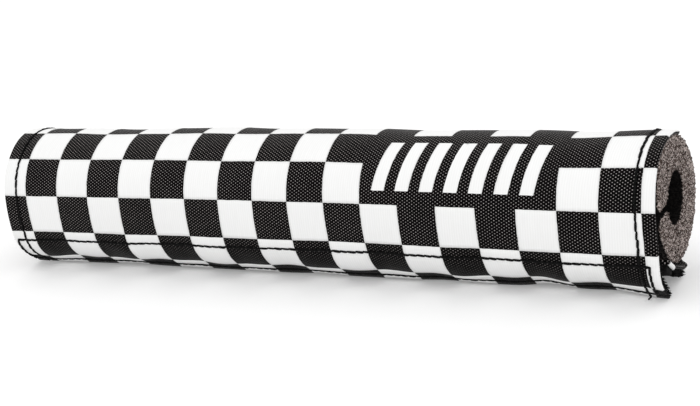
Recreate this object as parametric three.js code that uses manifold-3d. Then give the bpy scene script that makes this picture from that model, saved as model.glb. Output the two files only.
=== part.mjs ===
import * as THREE from 'three';
import { mergeVertices } from 'three/addons/utils/BufferGeometryUtils.js';
import Module from 'manifold-3d';

// Handlebar crossbar pad: a slit foam tube in a wrap of checkerboard cloth, closed with hook and loop tape.
// Millimetres. X runs along the pad, -Y is the front, +Z is up, and the origin is the bottom centre.

const wasm = await Module();
wasm.setup();

const degrees = Math.PI / 180;

// Foam tube
const foamLength = 228;
const foamDiameter = 36.6;
const boreWidth = 13;
const boreHeight = 16;
const boreLean = -20 * degrees;
const slitGap = 2;
const slitRise = 4 * degrees;
const lipRound = 2.6;

// Cover cloth
const coverLength = 229;
const coverThickness = 0.6;
const foamClearance = 0.3;
const hemWidth = 6;

// Checkerboard and its plain panel
const square = 12.7;
const leftPartSquare = 8.9;
const printLean = 4.2 * degrees;
const inkLift = 0.1;
const inkThickness = 0.2;
const inkOverlap = 0.15;
const inkMargin = 0.4;
const panelFirstColumn = 10;
const panelColumns = 5;
const panelRows = 2;
const barCount = 7;
const barWidth = 4.4;
const barHeight = 17;
const barSlant = 3;
const barPitch = 8;

// Shape of the wrap, seen from the end
const frontLeave = 80 * degrees;
const lowerFrontTurn = 17 * degrees;
const creaseRadius = 15;
const creaseTurn = 37 * degrees;
const flapLength = 7;
const innerFlapRise = 24 * degrees;
const restWidth = 4;
const restBendRadius = 3;

// Hook and loop tape
const hookWidth = 16;
const hookThickness = 1.4;
const loopWidth = 18;
const loopThickness = 1.5;
const layerGap = 0.3;
const tapeEdgeInset = 0.5;
const tapeInsetLeft = 0.5;
const tapeInsetRight = 1.8;

// Stitching
const threadWidth = 0.5;
const threadThickness = 0.5;
const threadLift = 0.1;
const tapeStitchInset = 1.1;
const hemStitchLeft = 4.6;
const hemStitchRight = 5.5;

// Fineness of the faceted curves
const finestStep = 4.3;
const finestTurn = 12 * degrees;
const foamCurveSegments = 28;

const colours = {
  cloth: { color: 0x1b1a1b, roughness: 0.75, metalness: 0 },
  ink: { color: 0xf1f1ee, roughness: 0.6, metalness: 0 },
  foam: { color: 0x8a7f7c, roughness: 0.95, metalness: 0 },
  tape: { color: 0x121212, roughness: 0.95, metalness: 0 },
  thread: { color: 0x0b0b0b, roughness: 0.6, metalness: 0 },
};

// Sizes that follow from the ones above. The section is drawn about the foam's centre.
const coverLeft = -coverLength / 2;
const coverRight = coverLength / 2;
const firstColumnLine = coverLeft + leftPartSquare;
const coverRadius = foamDiameter / 2 + foamClearance + 2 * coverThickness;
const hookInner = coverThickness + layerGap + hookThickness;
const closedRadius = coverRadius + hookInner + layerGap + loopThickness + layerGap;
const floorDrop = closedRadius;

// A heading of 0 runs to the front, 90 degrees runs down and 180 degrees runs to the back.
const along = (heading) => new THREE.Vector2(-Math.cos(heading), -Math.sin(heading));
const outward = (heading) => new THREE.Vector2(-Math.sin(heading), Math.cos(heading));
const headingOf = (direction) => Math.atan2(-direction.x, direction.y);
const tangentLength = (radius, turn) => radius * Math.tan(turn / 2);

// The inner flap rises to the front until it meets the foam, and hugs it up into the outer flap's crease.
// Its edge stops where the closed tape fills the room between the foam and the crease.
function innerFlapLayout(creaseCentre) {
  const flapHeading = Math.PI - innerFlapRise;
  const meeting = outward(flapHeading).multiplyScalar(coverRadius);
  const reach = creaseCentre.length();
  const narrowing = (closedRadius ** 2 + reach ** 2 - creaseRadius ** 2) / (2 * closedRadius * reach);
  const edgeHeading = headingOf(creaseCentre) - Math.acos(narrowing);
  return {
    edgeHeading,
    edge: outward(edgeHeading).multiplyScalar(coverRadius),
    curlTurn: flapHeading - edgeHeading,
    run: (floorDrop + meeting.y) / Math.sin(innerFlapRise),
    floorPoint: meeting.x + (floorDrop + meeting.y) / Math.tan(innerFlapRise),
  };
}

// The wrap's outer face as straight and bent spans, from the hidden inner edge to the outer flap's edge.
function wrapSpans() {
  const creaseHeading = frontLeave + lowerFrontTurn;
  const flapHeading = creaseHeading + creaseTurn;
  const creaseDrop = creaseRadius * (Math.cos(creaseHeading) - Math.cos(flapHeading));
  const creaseBack = creaseRadius * (Math.sin(flapHeading) - Math.sin(creaseHeading));
  const flapDrop = flapLength * Math.sin(flapHeading);
  const lowerFrontDrop = coverRadius * Math.cos(frontLeave) + floorDrop - creaseDrop - flapDrop;
  const lowerFrontRadius = lowerFrontDrop / (Math.cos(frontLeave) - Math.cos(creaseHeading));
  const lowerFrontForward = lowerFrontRadius * (Math.sin(creaseHeading) - Math.sin(frontLeave));
  const creaseStart = new THREE.Vector2(
    -coverRadius * Math.sin(frontLeave) - lowerFrontForward,
    creaseDrop + flapDrop - floorDrop,
  );
  const inner = innerFlapLayout(creaseStart.addScaledVector(outward(creaseHeading), -creaseRadius));
  const backCorner = new THREE.Vector2(inner.floorPoint + restWidth, -floorDrop);
  const towardFoam = Math.PI - Math.atan2(floorDrop, backCorner.x);
  const backRise = towardFoam - Math.asin(coverRadius / backCorner.length());
  const backRun = Math.sqrt(backCorner.lengthSq() - coverRadius ** 2);
  const frontTangent = tangentLength(restBendRadius, innerFlapRise);
  const backTangent = tangentLength(restBendRadius, backRise);
  const bend = (radius, turn) => ({ length: radius * turn, turn });
  const straight = (length) => ({ length, turn: 0 });
  return {
    start: inner.edge,
    heading: inner.edgeHeading - 2 * Math.PI,
    spans: {
      innerCurl: bend(coverRadius, inner.curlTurn),
      innerRise: straight(inner.run - frontTangent),
      restFront: bend(restBendRadius, innerFlapRise),
      rest: straight(restWidth - frontTangent - backTangent),
      restBack: bend(restBendRadius, backRise),
      back: straight(backRun - backTangent),
      round: bend(coverRadius, Math.PI - backRise + frontLeave),
      lowerFront: bend(lowerFrontRadius, lowerFrontTurn),
      crease: bend(creaseRadius, creaseTurn),
      flap: straight(flapLength + coverThickness),
    },
  };
}

const wrap = wrapSpans();
const spanNames = Object.keys(wrap.spans);
const lengthOf = (names) => names.reduce((sum, name) => sum + wrap.spans[name].length, 0);
const spanStart = (name) => lengthOf(spanNames.slice(0, spanNames.indexOf(name)));

// Girth is counted along the wrap from the print's first row line, which lies just in front of the top.
const roundHeading = frontLeave - wrap.spans.round.turn;
const rowLineFromStart = spanStart('round') + coverRadius * (printLean - roundHeading);
const innerEdge = -rowLineFromStart;
const wrapEnd = lengthOf(spanNames) - rowLineFromStart;
const outerEdge = wrapEnd - coverThickness;
const printStart = spanStart('back') - rowLineFromStart;
const printEnd = outerEdge - inkMargin;

// The facets' places along the girth: the ends of the spans, even steps within them, and the row lines.
function facetGirths() {
  const girths = [wrapEnd];
  spanNames.forEach((name) => {
    const span = wrap.spans[name];
    const steps = Math.ceil(Math.max(span.length / finestStep, span.turn / finestTurn));
    for (let step = 0; step < steps; step += 1) {
      girths.push(spanStart(name) + (span.length * step) / steps - rowLineFromStart);
    }
  });
  for (let row = Math.ceil(printStart / square); row * square < printEnd; row += 1) girths.push(row * square);
  girths.sort((a, b) => a - b);
  const closest = finestStep / 4;
  const isRowLine = (girth) => Math.abs(girth / square - Math.round(girth / square)) * square < 1e-6;
  const rowLines = girths.filter(isRowLine);
  const isCrowded = (girth) => rowLines.some((line) => line !== girth && Math.abs(line - girth) < closest);
  return girths.filter((girth) => isRowLine(girth) || !isCrowded(girth));
}

// The true place and heading of the wrap's outer face at a girth.
function onWrap(girth) {
  let left = girth + rowLineFromStart;
  const point = wrap.start.clone();
  let heading = wrap.heading;
  for (const span of Object.values(wrap.spans)) {
    const length = Math.min(left, span.length);
    if (span.turn === 0) {
      point.addScaledVector(along(heading), length);
    } else {
      const radius = span.length / span.turn;
      const centre = point.clone().addScaledVector(outward(heading), -radius);
      heading += length / radius;
      point.copy(centre).addScaledVector(outward(heading), radius);
    }
    left -= length;
    if (left <= 0) break;
  }
  return { point, heading };
}

const facets = facetGirths();

// Between two facet lines every layer of the wrap is flat, so layers keep their gaps.
function layerPoint(girth, lift) {
  const next = Math.min(Math.max(facets.findIndex((at) => at >= girth - 1e-9), 1), facets.length - 1);
  const [low, high] = [facets[next - 1], facets[next]].map((at) => {
    const { point, heading } = onWrap(at);
    return point.addScaledVector(outward(heading), lift);
  });
  return low.lerp(high, (girth - facets[next - 1]) / (facets[next] - facets[next - 1]));
}

// One flat-cut strip bent onto the wrap: X range, girth range, and the lifts of its two faces.
function strip({ x0, x1, from, to, low, high, slant = 0 }) {
  const levels = [from, ...facets.filter((at) => at > from + 1e-6 && at < to - 1e-6), to];
  const geometry = new THREE.BoxGeometry(1, 1, 1, 1, levels.length - 1, 1);
  const position = geometry.attributes.position;
  for (let index = 0; index < position.count; index += 1) {
    const level = Math.round((0.5 - position.getY(index)) * (levels.length - 1));
    const girth = levels[level];
    const place = layerPoint(girth, position.getZ(index) > 0 ? high : low);
    const x = (position.getX(index) > 0 ? x1 : x0) - slant * ((girth - from) / (to - from) - 0.5);
    position.setXYZ(index, x, place.x, place.y);
  }
  return geometry;
}

function toSolid(geometry) {
  const bare = geometry.clone();
  bare.deleteAttribute('normal');
  bare.deleteAttribute('uv');
  const merged = mergeVertices(bare, 1e-4);
  return new wasm.Manifold(new wasm.Mesh({
    numProp: 3,
    vertProperties: new Float32Array(merged.attributes.position.array),
    triVerts: new Uint32Array(merged.index.array),
  }));
}

function toGeometry(solid) {
  const mesh = solid.getMesh();
  const geometry = new THREE.BufferGeometry();
  geometry.setAttribute('position', new THREE.BufferAttribute(new Float32Array(mesh.vertProperties), 3));
  geometry.setIndex(new THREE.BufferAttribute(new Uint32Array(mesh.triVerts), 1));
  geometry.computeVertexNormals();
  return geometry;
}

const join = (geometries) => geometries.map(toSolid).reduce((whole, solid) => whole.add(solid));

// Cover: one cloth, its two ends folded under as hems where no tape is sewn, and its edge flat on the ground.
const hookTapeEnd = outerEdge - tapeEdgeInset;
const hookTapeStart = hookTapeEnd - hookWidth;
const loopTapeStart = innerEdge + tapeEdgeInset;
const loopTapeEnd = loopTapeStart + loopWidth;

function cover() {
  const cloth = strip({
    x0: coverLeft,
    x1: coverRight,
    from: innerEdge,
    to: outerEdge + coverThickness,
    low: -coverThickness,
    high: 0,
  });
  const hem = {
    from: loopTapeEnd + layerGap,
    to: hookTapeStart - layerGap,
    low: -2 * coverThickness,
    high: -coverThickness / 2,
  };
  const leftHem = strip({ ...hem, x0: coverLeft, x1: coverLeft + hemWidth });
  const rightHem = strip({ ...hem, x0: coverRight - hemWidth, x1: coverRight });
  const ground = new THREE.BoxGeometry(2 * coverLength, 4 * floorDrop, floorDrop);
  ground.translate(0, 0, -1.5 * floorDrop);
  return toGeometry(join([cloth, leftHem, rightHem]).subtract(toSolid(ground)));
}

// Print: the white squares of the checkerboard, joined at their corners, around the black panel.
const inPanel = (column, row) => (
  column >= panelFirstColumn && column < panelFirstColumn + panelColumns && row >= 0 && row < panelRows
);
const isWhite = (column, row) => (column + row) % 2 === 0 && !inPanel(column, row);

function whiteSquares() {
  const squares = [];
  const lastColumn = Math.ceil((coverRight - firstColumnLine) / square);
  for (let row = Math.floor(printStart / square); row * square < printEnd; row += 1) {
    for (let column = -1; column < lastColumn; column += 1) {
      const x0 = Math.max(firstColumnLine + column * square - inkOverlap, coverLeft + inkMargin);
      const x1 = Math.min(firstColumnLine + (column + 1) * square + inkOverlap, coverRight - inkMargin);
      const from = Math.max(row * square - inkOverlap, printStart);
      const to = Math.min((row + 1) * square + inkOverlap, printEnd);
      const roomy = x1 - x0 > inkMargin && to - from > inkMargin;
      if (isWhite(column, row) && roomy) {
        squares.push(strip({ x0, x1, from, to, low: inkLift, high: inkLift + inkThickness }));
      }
    }
  }
  return toGeometry(wasm.Manifold.union(squares.map(toSolid)));
}

// One slanted bar of the panel's row of bars.
function panelBar(index) {
  const middle = firstColumnLine + (panelFirstColumn + panelColumns / 2) * square;
  const x = middle + (index - (barCount - 1) / 2) * barPitch;
  const from = (panelRows * square - barHeight) / 2;
  return strip({
    x0: x - barWidth / 2,
    x1: x + barWidth / 2,
    from,
    to: from + barHeight,
    low: inkLift,
    high: inkLift + inkThickness,
    slant: barSlant,
  });
}

// Stitching: both hems and the outer tape's rectangle, one black thread layer over the print.
const threadLow = inkLift + inkThickness + threadLift;
const stitchLine = (x, from, to, low, high) => strip({
  x0: x - threadWidth / 2, x1: x + threadWidth / 2, from, to, low, high,
});
const stitchRow = (girth, x0, x1, low, high) => strip({
  x0: x0 - threadWidth / 2,
  x1: x1 + threadWidth / 2,
  from: girth - threadWidth / 2,
  to: girth + threadWidth / 2,
  low,
  high,
});

function stitchRectangle(from, to, low, high) {
  const x0 = coverLeft + tapeInsetLeft + tapeStitchInset;
  const x1 = coverRight - tapeInsetRight - tapeStitchInset;
  return [
    stitchRow(from, x0, x1, low, high),
    stitchRow(to, x0, x1, low, high),
    stitchLine(x0, from, to, low, high),
    stitchLine(x1, from, to, low, high),
  ];
}

function outerThread() {
  const high = threadLow + threadThickness;
  const lastStitch = hookTapeEnd - tapeStitchInset;
  const hemLines = [coverLeft + hemStitchLeft, coverRight - hemStitchRight];
  return toGeometry(join([
    ...stitchRectangle(hookTapeStart + tapeStitchInset, lastStitch, threadLow, high),
    ...hemLines.map((x) => stitchLine(x, printStart, lastStitch, threadLow, high)),
  ]));
}

function loopTapeThread() {
  const high = -coverThickness - threadLift;
  const low = high - layerGap;
  return toGeometry(join(
    stitchRectangle(loopTapeStart + tapeStitchInset, loopTapeEnd - tapeStitchInset, low, high),
  ));
}

const tapeSpan = { x0: coverLeft + tapeInsetLeft, x1: coverRight - tapeInsetRight };

const hookTape = () => strip({
  ...tapeSpan, from: hookTapeStart, to: hookTapeEnd, low: -hookInner, high: -coverThickness - layerGap,
});

const loopTape = () => strip({
  ...tapeSpan, from: loopTapeStart, to: loopTapeEnd, low: layerGap, high: layerGap + loopThickness,
});

// Foam: a thick tube with an oval bore, slit open to the front with rounded lips.
function foamTube() {
  const radius = foamDiameter / 2;
  const slit = Math.PI - slitRise;
  const axis = new THREE.Vector2(Math.cos(slit), Math.sin(slit));
  const side = new THREE.Vector2(-axis.y, axis.x);
  const at = (reach, offset) => axis.clone().multiplyScalar(reach).addScaledVector(side, offset);
  const mouthReach = radius - lipRound;
  const boreReach = boreWidth / 2 + lipRound;
  const lipAngle = Math.asin((slitGap / 2 + lipRound) / radius);
  const boreLip = Math.asin((slitGap / 2 + lipRound / 2) / (boreWidth / 2));
  const outline = new THREE.Shape();
  const mouthLow = at(mouthReach, slitGap / 2);
  const mouthHigh = at(mouthReach, -slitGap / 2);
  outline.absarc(0, 0, radius, slit + lipAngle, slit - lipAngle + 2 * Math.PI, false);
  const lipHigh = at(radius, -slitGap / 2);
  outline.quadraticCurveTo(lipHigh.x, lipHigh.y, mouthHigh.x, mouthHigh.y);
  const innerHigh = at(boreReach, -slitGap / 2);
  outline.lineTo(innerHigh.x, innerHigh.y);
  const boreFrom = slit - boreLip - boreLean;
  const boreTo = slit + boreLip - boreLean - 2 * Math.PI;
  const bore = new THREE.EllipseCurve(0, 0, boreWidth / 2, boreHeight / 2, boreFrom, boreTo, true, boreLean);
  const boreStart = bore.getPoint(0);
  const boreEnd = bore.getPoint(1);
  const cornerHigh = at(boreWidth / 2, -slitGap / 2);
  outline.quadraticCurveTo(cornerHigh.x, cornerHigh.y, boreStart.x, boreStart.y);
  outline.curves.push(bore);
  outline.currentPoint.copy(boreEnd);
  const innerLow = at(boreReach, slitGap / 2);
  const cornerLow = at(boreWidth / 2, slitGap / 2);
  outline.quadraticCurveTo(cornerLow.x, cornerLow.y, innerLow.x, innerLow.y);
  outline.lineTo(mouthLow.x, mouthLow.y);
  const lipLow = at(radius, slitGap / 2);
  const lipEnd = new THREE.Vector2(radius * Math.cos(slit + lipAngle), radius * Math.sin(slit + lipAngle));
  outline.quadraticCurveTo(lipLow.x, lipLow.y, lipEnd.x, lipEnd.y);
  const geometry = new THREE.ExtrudeGeometry(outline, {
    depth: foamLength,
    bevelEnabled: false,
    curveSegments: foamCurveSegments,
  });
  const endOn = new THREE.Matrix4().makeBasis(
    new THREE.Vector3(0, 1, 0), new THREE.Vector3(0, 0, 1), new THREE.Vector3(1, 0, 0),
  );
  geometry.applyMatrix4(endOn);
  geometry.translate(-foamLength / 2, 0, 0);
  return geometry;
}

const group = new THREE.Group();

function addPiece(name, geometry, colour) {
  const mesh = new THREE.Mesh(geometry, new THREE.MeshStandardMaterial(colour));
  mesh.name = name;
  group.add(mesh);
}

addPiece('foam_tube', foamTube(), colours.foam);
addPiece('cover', cover(), colours.cloth);
addPiece('white_print', whiteSquares(), colours.ink);
for (let index = 0; index < barCount; index += 1) {
  addPiece(`panel_bar_${index + 1}`, panelBar(index), colours.ink);
}
addPiece('hook_tape', hookTape(), colours.tape);
addPiece('loop_tape', loopTape(), colours.tape);
addPiece('cover_thread', outerThread(), colours.thread);
addPiece('loop_tape_thread', loopTapeThread(), colours.thread);

// The wrap's rest strip and flap edge stand on Z = 0, with the origin at the middle of the outline.
const outlineBox = new THREE.Box3().setFromObject(group);
group.position.set(0, -(outlineBox.min.y + outlineBox.max.y) / 2, floorDrop);

export default group;
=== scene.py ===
import math

import bpy
import numpy as np
from mathutils import Euler, Matrix, Vector


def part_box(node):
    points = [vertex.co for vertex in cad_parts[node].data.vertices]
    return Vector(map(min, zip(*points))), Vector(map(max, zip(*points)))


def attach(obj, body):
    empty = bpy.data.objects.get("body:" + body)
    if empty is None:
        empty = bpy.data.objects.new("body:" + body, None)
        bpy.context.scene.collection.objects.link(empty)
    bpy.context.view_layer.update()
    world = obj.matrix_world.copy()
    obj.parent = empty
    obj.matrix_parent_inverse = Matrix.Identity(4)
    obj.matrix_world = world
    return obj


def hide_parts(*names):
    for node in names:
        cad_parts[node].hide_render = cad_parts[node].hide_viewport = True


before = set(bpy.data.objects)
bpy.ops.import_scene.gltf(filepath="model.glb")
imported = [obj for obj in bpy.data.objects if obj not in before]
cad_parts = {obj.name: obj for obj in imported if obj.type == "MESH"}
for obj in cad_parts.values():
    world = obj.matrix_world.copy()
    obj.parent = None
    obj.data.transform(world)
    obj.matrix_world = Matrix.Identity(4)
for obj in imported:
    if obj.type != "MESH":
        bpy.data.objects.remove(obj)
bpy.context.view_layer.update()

# Looks of the crossbar pad: checkerboard cloth with hems, its print, foam, hook and loop tape, and stitching.
# Sizes are in millimetres until a mesh is made. X runs along the pad, -Y is the front, +Z is up.

MM = 0.001
DEG = math.pi / 180
rng = np.random.default_rng(7)

# Foam tube, whose bore lies a little behind and above the middle
FOAM_LENGTH = 228
FOAM_RADIUS = 18.3
BORE_WIDTH = 14
BORE_HEIGHT = 16
BORE_LEAN = -28 * DEG
BORE_SHIFT = (0, 0.7, 0.9)
SLIT_GAP = 2.6
SLIT_RISE = 4 * DEG
LIP_ROUND = 1.9

# Cover cloth
COVER_LENGTH = 229
CLOTH = 0.6
FOAM_CLEARANCE = 0.3
HEM_WIDTH = 6
FOLD_RADIUS = 0.65

# Checkerboard
SQUARE = 12.7
LEFT_PART_SQUARE = 9.25
PRINT_LEAN = 4.2 * DEG
INK_THICKNESS = 0.07
INK_ROUGH_ENDS = 0.06
INK_ROUGH_SIDES = 0.05
INK_EDGE_INSET = 0.1
INK_FOLD_TURN = 76 * DEG
CURL_FOLD_TURN = 160 * DEG
CURL_INK_INSET = 0.2
CURL_INK_WIDTH = 9
PANEL_FIRST_COLUMN = 10
PANEL_COLUMNS = 5
PANEL_ROWS = 2
BAR_COUNT = 7
BAR_WIDTH = 4.4
BAR_HEIGHT = 17
BAR_SLANT = 3
BAR_PITCH = 8

# Section of the wrap
FRONT_LEAVE = 80 * DEG
LOWER_FRONT_TURN = 17 * DEG
CREASE_RADIUS = 15
CREASE_TURN = 37 * DEG
FLAP_LENGTH = 7
INNER_FLAP_RISE = 24 * DEG
REST_WIDTH = 4
REST_BEND_RADIUS = 3

# Hook and loop tape
HOOK_WIDTH = 16
HOOK_THICKNESS = 1.4
LOOP_WIDTH = 18
LOOP_THICKNESS = 1.5
LAYER_GAP = 0.3
TAPE_EDGE_INSET = 0.5
TAPE_INSET_LEFT = 0.5
TAPE_INSET_RIGHT = 1.8
LOOP_INSET_RIGHT = 1
TAPE_SEAT = 0.05
TAPE_FIBRES = 450
FIBRE_RADIUS = 0.08
LEFT_FRAY = 0.9
HOOK_FRAY = 2.4
LOOP_FRAY = 2.2
LOOP_BARE_WIDTH = 7

# Stitching
THREAD_RADIUS = 0.4
STITCH_PITCH = 2.6
STITCH_UNEVENNESS = 0.25
STITCH_OVERLAP = 0.1
STITCH_SLANT = 0.15
STITCH_SWAY = 0.1
TAPE_STITCH_INSET = 1.1
EDGE_STITCH_RAISE = 1.1
HEM_STITCH_LEFT = 5.2
HEM_STITCH_RIGHT = 5.75
HEM_STITCH_START = 2
HEM_STITCH_STOP = 0.4
SEAM_DEPTH = 0.22
SEAM_WIDTH = 0.6

# Weave: the distance between neighbouring threads, and how much the warp leans
WARP_PITCH = 0.775
WEFT_PITCH = 0.505
WEAVE_SKEW = 0.047
WARP_SWAY = 0.4
# How much of the painted highlight stays on the turned-under flap, which is painted as in shade
HIGHLIGHT_IN_UNDERSIDE_SHADE = 0.22

# Colours
NYLON_DARK = (0.0013, 0.0011, 0.0011, 1)
# Painted highlight of the nylon's ridden threads, put in the colour in place of a reflection
NYLON_PAINTED_HIGHLIGHT = (0.62, 0.575, 0.56, 1)
INK_DIM = (0.845, 0.845, 0.838, 1)
INK_BRIGHT = (0.89, 0.89, 0.886, 1)
FOAM_PORE = (0.02, 0.0135, 0.0115, 1)
FOAM_BODY = (0.105, 0.077, 0.067, 1)
FOAM_SPECK = (0.56, 0.485, 0.455, 1)
# Painted shade inside the foam's bore and slit, and on the front of its skin near the cover's rim
FOAM_PAINTED_SHADE = (0.001, 0.0008, 0.0008, 1)
TAPE_DARK = (0.002, 0.002, 0.002, 1)
TAPE_PILE = (0.014, 0.0135, 0.0135, 1)
THREAD_DARK = (0.001, 0.001, 0.001, 1)
THREAD_STRAND = (0.005, 0.005, 0.005, 1)

# How the soft pad departs from its plain form
BOW_RISE = 0.6
BOW_MIDDLE = -10
BOW_HALF_LENGTH = 92
CORNER_FLARE = 3.8
CORNER_START = 88
CORNER_OVERRUN = 4
FLAP_TUCK_BACK = 0.8
FLAP_TUCK_UP = 0.4
FLAP_TUCK_ENDS = (-100, 10)
COVER_PUFF = 0.8
FOAM_PUFF = 0.8
PUFF_START = 86
PUFF_FRONT = (6, 22)
FOAM_FRONT_GAP = 3

# Places along the pad where the flap's edge stands off the ground, each with its rise
FLAP_LIFTS = ((-72, 0.4), (-1, 0.4), (43, 0.4), (77, 1.2), (99, 0.7))
FLAP_LIFT_WIDTH = 7

# Waves of the cloth: height, radians per millimetre along the pad and round it, and the start
RIPPLE = 0.16
RIPPLE_WAVES = ((1, 0.113, 0.071, 0.6), (0.8, 0.061, -0.118, 2.1), (0.5, 0.231, 0.153, 4.0))
RIPPLE_FADE = 6
CREASE_WAVES = ((0.3, 0.16, 0, 0.4), (0.2, 0.37, 0, 1.9))

# Sizes that follow from the ones above
COVER_RADIUS = FOAM_RADIUS + FOAM_CLEARANCE + 2 * CLOTH
HOOK_INNER = CLOTH + LAYER_GAP + HOOK_THICKNESS
CLOSED_RADIUS = COVER_RADIUS + HOOK_INNER + LAYER_GAP + LOOP_THICKNESS + LAYER_GAP
COVER_END = COVER_LENGTH / 2
FOAM_END = FOAM_LENGTH / 2
FACE_HALF = COVER_END - FOLD_RADIUS
CUT_HALF = FACE_HALF + math.pi * FOLD_RADIUS + HEM_WIDTH - FOLD_RADIUS
INK_HALF = FACE_HALF + INK_FOLD_TURN * FOLD_RADIUS
FIRST_COLUMN_LINE = -COVER_END + LEFT_PART_SQUARE
FIRST_COLUMN = math.floor((-INK_HALF - FIRST_COLUMN_LINE) / SQUARE)
LAST_COLUMN = math.floor((INK_HALF - FIRST_COLUMN_LINE) / SQUARE)
FOAM_CENTRE_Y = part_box("foam_tube")[1].y / MM - FOAM_RADIUS


def smooth(low, high, value):
    """0 at low, 1 at high, and a smooth change between them."""
    t = np.clip((np.asarray(value, float) - low) / (high - low), 0, 1)
    return t * t * (3 - 2 * t)


def wrap_layout():
    """The wrap's outer face in section as (name, length, turn), with its first point and heading.

    A heading of 0 runs to the front, 90 degrees runs down and 180 degrees runs to the back.
    """
    crease_heading = FRONT_LEAVE + LOWER_FRONT_TURN
    flap_heading = crease_heading + CREASE_TURN
    crease_drop = CREASE_RADIUS * (math.cos(crease_heading) - math.cos(flap_heading))
    flap_drop = FLAP_LENGTH * math.sin(flap_heading)
    front_drop = COVER_RADIUS * math.cos(FRONT_LEAVE) + CLOSED_RADIUS - crease_drop - flap_drop
    front_radius = front_drop / (math.cos(FRONT_LEAVE) - math.cos(crease_heading))
    front_forward = front_radius * (math.sin(crease_heading) - math.sin(FRONT_LEAVE))
    front_y = -COVER_RADIUS * math.sin(FRONT_LEAVE) - front_forward
    centre_y = front_y + CREASE_RADIUS * math.sin(crease_heading)
    centre_z = crease_drop + flap_drop - CLOSED_RADIUS - CREASE_RADIUS * math.cos(crease_heading)
    reach = math.hypot(centre_y, centre_z)
    narrowing = (CLOSED_RADIUS**2 + reach**2 - CREASE_RADIUS**2) / (2 * CLOSED_RADIUS * reach)
    edge_heading = math.atan2(-centre_y, centre_z) - math.acos(narrowing)
    inner_heading = math.pi - INNER_FLAP_RISE
    meeting_y = -COVER_RADIUS * math.sin(inner_heading)
    meeting_z = COVER_RADIUS * math.cos(inner_heading)
    floor_y = meeting_y + (CLOSED_RADIUS + meeting_z) / math.tan(INNER_FLAP_RISE)
    back_y = floor_y + REST_WIDTH
    back_reach = math.hypot(back_y, CLOSED_RADIUS)
    back_rise = math.pi - math.atan2(CLOSED_RADIUS, back_y) - math.asin(COVER_RADIUS / back_reach)
    front_tangent = REST_BEND_RADIUS * math.tan(INNER_FLAP_RISE / 2)
    back_tangent = REST_BEND_RADIUS * math.tan(back_rise / 2)
    curl_turn = inner_heading - edge_heading
    round_turn = math.pi - back_rise + FRONT_LEAVE
    spans = [
        ("inner_curl", COVER_RADIUS * curl_turn, curl_turn),
        ("inner_rise", (CLOSED_RADIUS + meeting_z) / math.sin(INNER_FLAP_RISE) - front_tangent, 0),
        ("rest_front", REST_BEND_RADIUS * INNER_FLAP_RISE, INNER_FLAP_RISE),
        ("rest", REST_WIDTH - front_tangent - back_tangent, 0),
        ("rest_back", REST_BEND_RADIUS * back_rise, back_rise),
        ("back", math.sqrt(back_reach**2 - COVER_RADIUS**2) - back_tangent, 0),
        ("round", COVER_RADIUS * round_turn, round_turn),
        ("lower_front", front_radius * LOWER_FRONT_TURN, LOWER_FRONT_TURN),
        ("crease", CREASE_RADIUS * CREASE_TURN, CREASE_TURN),
        ("flap", FLAP_LENGTH, 0),
    ]
    start = (-COVER_RADIUS * math.sin(edge_heading), COVER_RADIUS * math.cos(edge_heading))
    return spans, start, edge_heading - 2 * math.pi


SPANS, WRAP_START, WRAP_HEADING = wrap_layout()


def span_start(name):
    names = [span[0] for span in SPANS]
    return sum(span[1] for span in SPANS[: names.index(name)])


# Girth is counted from the print's first row line, which lies just in front of the top.
ROUND_TURN = next(turn for name, _, turn in SPANS if name == "round")
ROW_LINE = span_start("round") + COVER_RADIUS * (PRINT_LEAN - FRONT_LEAVE + ROUND_TURN)
INNER_EDGE = -ROW_LINE
OUTER_EDGE = sum(length for _, length, _ in SPANS) - ROW_LINE
REST_START = span_start("rest_front") - ROW_LINE
BACK_START = span_start("back") - ROW_LINE
ROUND_START = span_start("round") - ROW_LINE
CREASE_START = span_start("crease") - ROW_LINE
FLAP_START = span_start("flap") - ROW_LINE
HOOK_END = OUTER_EDGE - TAPE_EDGE_INSET
HOOK_START = HOOK_END - HOOK_WIDTH
LOOP_START = INNER_EDGE + TAPE_EDGE_INSET
LOOP_END = LOOP_START + LOOP_WIDTH
TAPE_LEFT = -COVER_END + TAPE_INSET_LEFT
TAPE_RIGHT = COVER_END - TAPE_INSET_RIGHT
LOOP_RIGHT = COVER_END - LOOP_INSET_RIGHT
HEM_SEAMS = (-COVER_END + HEM_STITCH_LEFT, COVER_END - HEM_STITCH_RIGHT)
EDGE_STITCHES = HOOK_END - EDGE_STITCH_RAISE
TAPE_SEAMS = (HOOK_START + TAPE_STITCH_INSET, EDGE_STITCHES - TAPE_STITCH_INSET)

# Girths over which a departure from the plain form grows from none to all
CREASE_WAVE_RISE = (CREASE_START - 4, CREASE_START + 5)
CORNER_RISE = (CREASE_START - 8, OUTER_EDGE - 3)
# Girths over which the nylon's painted highlight dims, as painted shade on the turned-under flap
HIGHLIGHT_SHADE_RISE = (CREASE_START - 8, FLAP_START - 1)

# Shifts of the cover's ends along the pad: amount, the girth below which all of it holds, and where none does
RIGHT_SHIFTS = (
    (0.2, -2, 14),
    (-2.8, -17, -9),
    (-1.4, -52, -40),
    (2.6, BACK_START - 4, BACK_START),
    (2.6, INNER_EDGE + 4, INNER_EDGE + 12),
)
RIGHT_SHIFT_REACH = 18
LEFT_SHIFTS = ((0.7, -2, 14), (-0.5, -17, -9))
LEFT_SHIFT_REACH = 16
LEFT_OVERRUN = 0.1


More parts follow.
